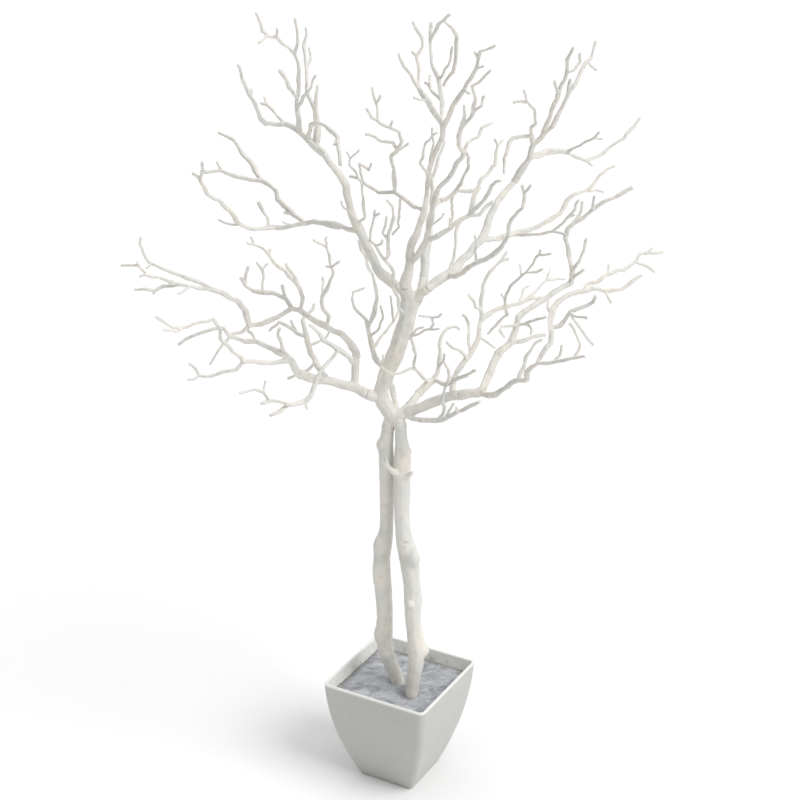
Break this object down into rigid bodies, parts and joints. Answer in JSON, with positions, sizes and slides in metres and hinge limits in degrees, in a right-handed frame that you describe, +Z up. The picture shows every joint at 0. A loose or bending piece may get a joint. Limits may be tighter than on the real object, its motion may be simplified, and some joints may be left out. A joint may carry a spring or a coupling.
{
  "type": "artificial tabletop tree",
  "caption": "White branching artificial tree on two knobbly stems, with plug-in sprays forming a round crown, set in a cement-weighted square tapered pot.",
  "frame": {"origin": "centre of the pot's flat underside, which rests on the table", "axes": "+Z up the tree; +X to the right and +Y to the back when seen from the front, the pot turned 29.3 degrees so that one corner faces nearly forward"},
  "size_m": [0.7672, 0.4234, 1.206],
  "materials": {
    "branch_plastic": "matte moulded bark texture",
    "pot_plastic": "satin moulded",
    "cement": "hand-trowelled, matte",
    "rod_steel": "plain drawn rod"
  },
  "bodies": {
    "stand": {"pot_shell": "pot_plastic", "cement_fill": "cement", "left_trunk": "branch_plastic", "right_trunk": "branch_plastic", "left_core_rod": "rod_steel", "right_core_rod": "rod_steel", "crown_fork": "branch_plastic", "vine_spray": "branch_plastic"},
    "left_limb": {"left_limb": "branch_plastic"},
    "left_low_spray": {"left_low_spray": "branch_plastic"},
    "left_twig_spray": {"left_twig_spray": "branch_plastic"},
    "left_front_spray": {"left_front_spray": "branch_plastic"},
    "left_mid_spray": {"left_mid_spray": "branch_plastic"},
    "left_twig_high": {"left_twig_high": "branch_plastic"},
    "left_far_spray": {"left_far_spray": "branch_plastic"},
    "center_left_spray": {"center_left_spray": "branch_plastic"},
    "center_front_spray": {"center_front_spray": "branch_plastic"},
    "upper_left_limb": {"upper_left_limb": "branch_plastic"},
    "upper_left_side_spray": {"upper_left_side_spray": "branch_plastic"},
    "upper_left_top_spray": {"upper_left_top_spray": "branch_plastic"},
    "upper_left_crest": {"upper_left_crest": "branch_plastic"},
    "upper_left_peak": {"upper_left_peak": "branch_plastic"},
    "upper_center_limb": {"upper_center_limb": "branch_plastic"},
    "center_fan_left": {"center_fan_left": "branch_plastic"},
    "center_top_spray": {"center_top_spray": "branch_plastic"},
    "center_crest": {"center_crest": "branch_plastic"},
    "center_right_spray": {"center_right_spray": "branch_plastic"},
    "mid_top_spray": {"mid_top_spray": "branch_plastic"},
    "back_stem": {"back_stem": "branch_plastic"},
    "back_side_spray": {"back_side_spray": "branch_plastic"},
    "mid_right_spray": {"mid_right_spray": "branch_plastic"},
    "upper_right_limb": {"upper_right_limb": "branch_plastic"},
    "lower_right_run": {"lower_right_run": "branch_plastic"},
    "right_side_spray": {"right_side_spray": "branch_plastic"},
    "upper_right_top": {"upper_right_top": "branch_plastic"},
    "upper_right_end": {"upper_right_end": "branch_plastic"},
    "right_low_limb": {"right_low_limb": "branch_plastic"},
    "right_mid_spray": {"right_mid_spray": "branch_plastic"},
    "right_high_spray": {"right_high_spray": "branch_plastic"},
    "right_low_spray": {"right_low_spray": "branch_plastic"},
    "right_inner_spray": {"right_inner_spray": "branch_plastic"},
    "right_far_spray": {"right_far_spray": "branch_plastic"},
    "low_front_spray": {"low_front_spray": "branch_plastic"},
    "mid_low_spray": {"mid_low_spray": "branch_plastic"},
    "mid_fan_spray": {"mid_fan_spray": "branch_plastic"}
  },
  "joints": [
    {"name": "left_limb_swivel", "type": "hinge", "parent": "stand", "child": "left_limb", "pos_m": [-0.04888, -0.0056, 0.65232], "axis": [-0.89, -0.2482, 0.3825], "range_deg": [-12, 12]},
    {"name": "left_low_spray_swivel", "type": "hinge", "parent": "left_limb", "child": "left_low_spray", "pos_m": [-0.11557, -0.0084, 0.6749], "axis": [-0.9488, -0.1682, 0.2675], "range_deg": [-12, 12]},
    {"name": "left_twig_spray_swivel", "type": "hinge", "parent": "left_limb", "child": "left_twig_spray", "pos_m": [-0.11846, 0.028, 0.6779], "axis": [-0.3362, 0.9174, 0.2131], "range_deg": [-12, 12]},
    {"name": "left_front_spray_swivel", "type": "hinge", "parent": "left_limb", "child": "left_front_spray", "pos_m": [-0.079, -0.028, 0.72479], "axis": [-0.2757, -0.7295, 0.6259], "range_deg": [-12, 12]},
    {"name": "left_mid_spray_swivel", "type": "hinge", "parent": "left_limb", "child": "left_mid_spray", "pos_m": [-0.06398, 0.0168, 0.70148], "axis": [0.1033, 0.3868, 0.9163], "range_deg": [-11, 9]},
    {"name": "left_twig_high_swivel", "type": "hinge", "parent": "left_mid_spray", "child": "left_twig_high", "pos_m": [-0.10518, 0.0364, 0.75586], "axis": [0.1394, -0.1329, 0.9813], "range_deg": [-12, 12]},
    {"name": "left_far_spray_swivel", "type": "hinge", "parent": "left_mid_spray", "child": "left_far_spray", "pos_m": [-0.22615, 0.042, 0.76403], "axis": [-0.1545, -0.1421, 0.9777], "range_deg": [-12, 12]},
    {"name": "center_left_spray_swivel", "type": "hinge", "parent": "stand", "child": "center_left_spray", "pos_m": [-0.00915, 0.0364, 0.63087], "axis": [-0.1888, 0.8888, 0.4177], "range_deg": [-12, 8]},
    {"name": "center_front_spray_swivel", "type": "hinge", "parent": "stand", "child": "center_front_spray", "pos_m": [-0.00834, -0.042, 0.84009], "axis": [0.0294, -0.477, 0.8784], "range_deg": [-12, 12]},
    {"name": "upper_left_limb_swivel", "type": "hinge", "parent": "stand", "child": "upper_left_limb", "pos_m": [-0.00704, 0.0126, 0.81272], "axis": [-0.8117, 0.2776, 0.5139], "range_deg": [-12, 12]},
    {"name": "upper_left_side_spray_swivel", "type": "hinge", "parent": "upper_left_limb", "child": "upper_left_side_spray", "pos_m": [-0.0862, 0.0588, 0.8858], "axis": [-0.7449, 0.6656, -0.0461], "range_deg": [-12, 12]},
    {"name": "upper_left_top_spray_swivel", "type": "hinge", "parent": "upper_left_limb", "child": "upper_left_top_spray", "pos_m": [-0.10915, 0.056, 0.99477], "axis": [-0.629, 0.1945, 0.7526], "range_deg": [-12, 12]},
    {"name": "upper_left_crest_swivel", "type": "hinge", "parent": "upper_left_top_spray", "child": "upper_left_crest", "pos_m": [-0.1428, 0.0532, 1.04666], "axis": [-0.0021, -0.5418, 0.8405], "range_deg": [-12, 12]},
    {"name": "upper_left_peak_swivel", "type": "hinge", "parent": "upper_left_top_spray", "child": "upper_left_peak", "pos_m": [-0.11624, 0.0644, 1.02761], "axis": [0.0701, 0.1715, 0.9827], "range_deg": [-12, 12]},
    {"name": "upper_center_limb_swivel", "type": "hinge", "parent": "stand", "child": "upper_center_limb", "pos_m": [0.00745, -0.0154, 0.82124], "axis": [-0.1682, -0.5813, 0.7961], "range_deg": [-9, 5]},
    {"name": "center_fan_left_swivel", "type": "hinge", "parent": "upper_center_limb", "child": "center_fan_left", "pos_m": [0.02303, 0.0028, 0.93019], "axis": [-0.6417, 0.7346, 0.2206], "range_deg": [-12, 6]},
    {"name": "center_top_spray_swivel", "type": "hinge", "parent": "upper_center_limb", "child": "center_top_spray", "pos_m": [0.03838, -0.007, 0.96293], "axis": [0.001, 0.0569, 0.9984], "range_deg": [-12, 12]},
    {"name": "center_crest_swivel", "type": "hinge", "parent": "center_top_spray", "child": "center_crest", "pos_m": [0.05729, -0.0084, 1.07091], "axis": [0.0171, 0.6679, 0.744], "range_deg": [-12, 12]},
    {"name": "center_right_spray_swivel", "type": "hinge", "parent": "center_top_spray", "child": "center_right_spray", "pos_m": [0.0655, -0.0504, 1.07557], "axis": [0.1629, -0.7326, 0.6608], "range_deg": [-12, 12]},
    {"name": "mid_top_spray_swivel", "type": "hinge", "parent": "upper_center_limb", "child": "mid_top_spray", "pos_m": [0.06738, -0.084, 1.00002], "axis": [0.5977, -0.4234, 0.6808], "range_deg": [-12, 12]},
    {"name": "back_stem_swivel", "type": "hinge", "parent": "stand", "child": "back_stem", "pos_m": [0.03425, 0.0504, 0.81113], "axis": [0.1504, 0.7555, 0.6377], "range_deg": [-12, 12]},
    {"name": "back_side_spray_swivel", "type": "hinge", "parent": "back_stem", "child": "back_side_spray", "pos_m": [0.05984, 0.112, 0.90915], "axis": [0.7343, 0.6566, 0.1721], "range_deg": [-12, 12]},
    {"name": "mid_right_spray_swivel", "type": "hinge", "parent": "upper_center_limb", "child": "mid_right_spray", "pos_m": [0.05168, -0.056, 0.9072], "axis": [0.5064, -0.7494, 0.4266], "range_deg": [-12, 12]},
    {"name": "upper_right_limb_swivel", "type": "hinge", "parent": "stand", "child": "upper_right_limb", "pos_m": [0.03893, -0.0042, 0.81443], "axis": [0.7402, -0.2727, 0.6146], "range_deg": [-4, 12]},
    {"name": "lower_right_run_swivel", "type": "hinge", "parent": "upper_right_limb", "child": "lower_right_run", "pos_m": [0.08718, -0.021, 0.84196], "axis": [0.3757, -0.7736, 0.5103], "range_deg": [-12, 12]},
    {"name": "right_side_spray_swivel", "type": "hinge", "parent": "upper_right_limb", "child": "right_side_spray", "pos_m": [0.1399, 0.0644, 0.86611], "axis": [0.7155, 0.6851, -0.1367], "range_deg": [-12, 12]},
    {"name": "upper_right_top_swivel", "type": "hinge", "parent": "upper_right_limb", "child": "upper_right_top", "pos_m": [0.16391, 0.084, 0.94616], "axis": [0.6099, 0.4149, 0.6753], "range_deg": [-12, 12]},
    {"name": "upper_right_end_swivel", "type": "hinge", "parent": "upper_right_top", "child": "upper_right_end", "pos_m": [0.20621, 0.105, 0.98232], "axis": [0.6544, 0.7561, 0.0039], "range_deg": [-12, 12]},
    {"name": "right_low_limb_swivel", "type": "hinge", "parent": "stand", "child": "right_low_limb", "pos_m": [0.08471, -0.0336, 0.66243], "axis": [0.9195, -0.3259, 0.2198], "range_deg": [-12, 8]},
    {"name": "right_mid_spray_swivel", "type": "hinge", "parent": "right_low_limb", "child": "right_mid_spray", "pos_m": [0.1415, 0, 0.711], "axis": [0.5013, 0.6252, 0.5981], "range_deg": [-12, 12]},
    {"name": "right_high_spray_swivel", "type": "hinge", "parent": "right_mid_spray", "child": "right_high_spray", "pos_m": [0.25151, 0.098, 0.78685], "axis": [0.7331, 0.546, 0.4055], "range_deg": [-6, 12]},
    {"name": "right_low_spray_swivel", "type": "hinge", "parent": "right_low_limb", "child": "right_low_spray", "pos_m": [0.15017, -0.084, 0.69439], "axis": [0.438, -0.6244, 0.6467], "range_deg": [-12, 9]},
    {"name": "right_inner_spray_swivel", "type": "hinge", "parent": "right_low_spray", "child": "right_inner_spray", "pos_m": [0.20761, -0.112, 0.78377], "axis": [0.1768, 0.4842, 0.8569], "range_deg": [-12, 12]},
    {"name": "right_far_spray_swivel", "type": "hinge", "parent": "right_inner_spray", "child": "right_far_spray", "pos_m": [0.23792, -0.056, 0.82334], "axis": [0.7547, 0.6262, 0.1958], "range_deg": [-12, 12]},
    {"name": "low_front_spray_swivel", "type": "hinge", "parent": "stand", "child": "low_front_spray", "pos_m": [0.02866, -0.0266, 0.6199], "axis": [0.7111, -0.6731, 0.2031], "range_deg": [-11, 12]},
    {"name": "mid_low_spray_swivel", "type": "hinge", "parent": "stand", "child": "mid_low_spray", "pos_m": [0.08008, 0.0308, 0.66158], "axis": [0.1073, 0.9937, 0.0335], "range_deg": [-6, 12]},
    {"name": "mid_fan_spray_swivel", "type": "hinge", "parent": "mid_low_spray", "child": "mid_fan_spray", "pos_m": [0.13784, 0.154, 0.7209], "axis": [0.328, 0.9358, -0.1291], "range_deg": [-12, 9]}
  ]
}
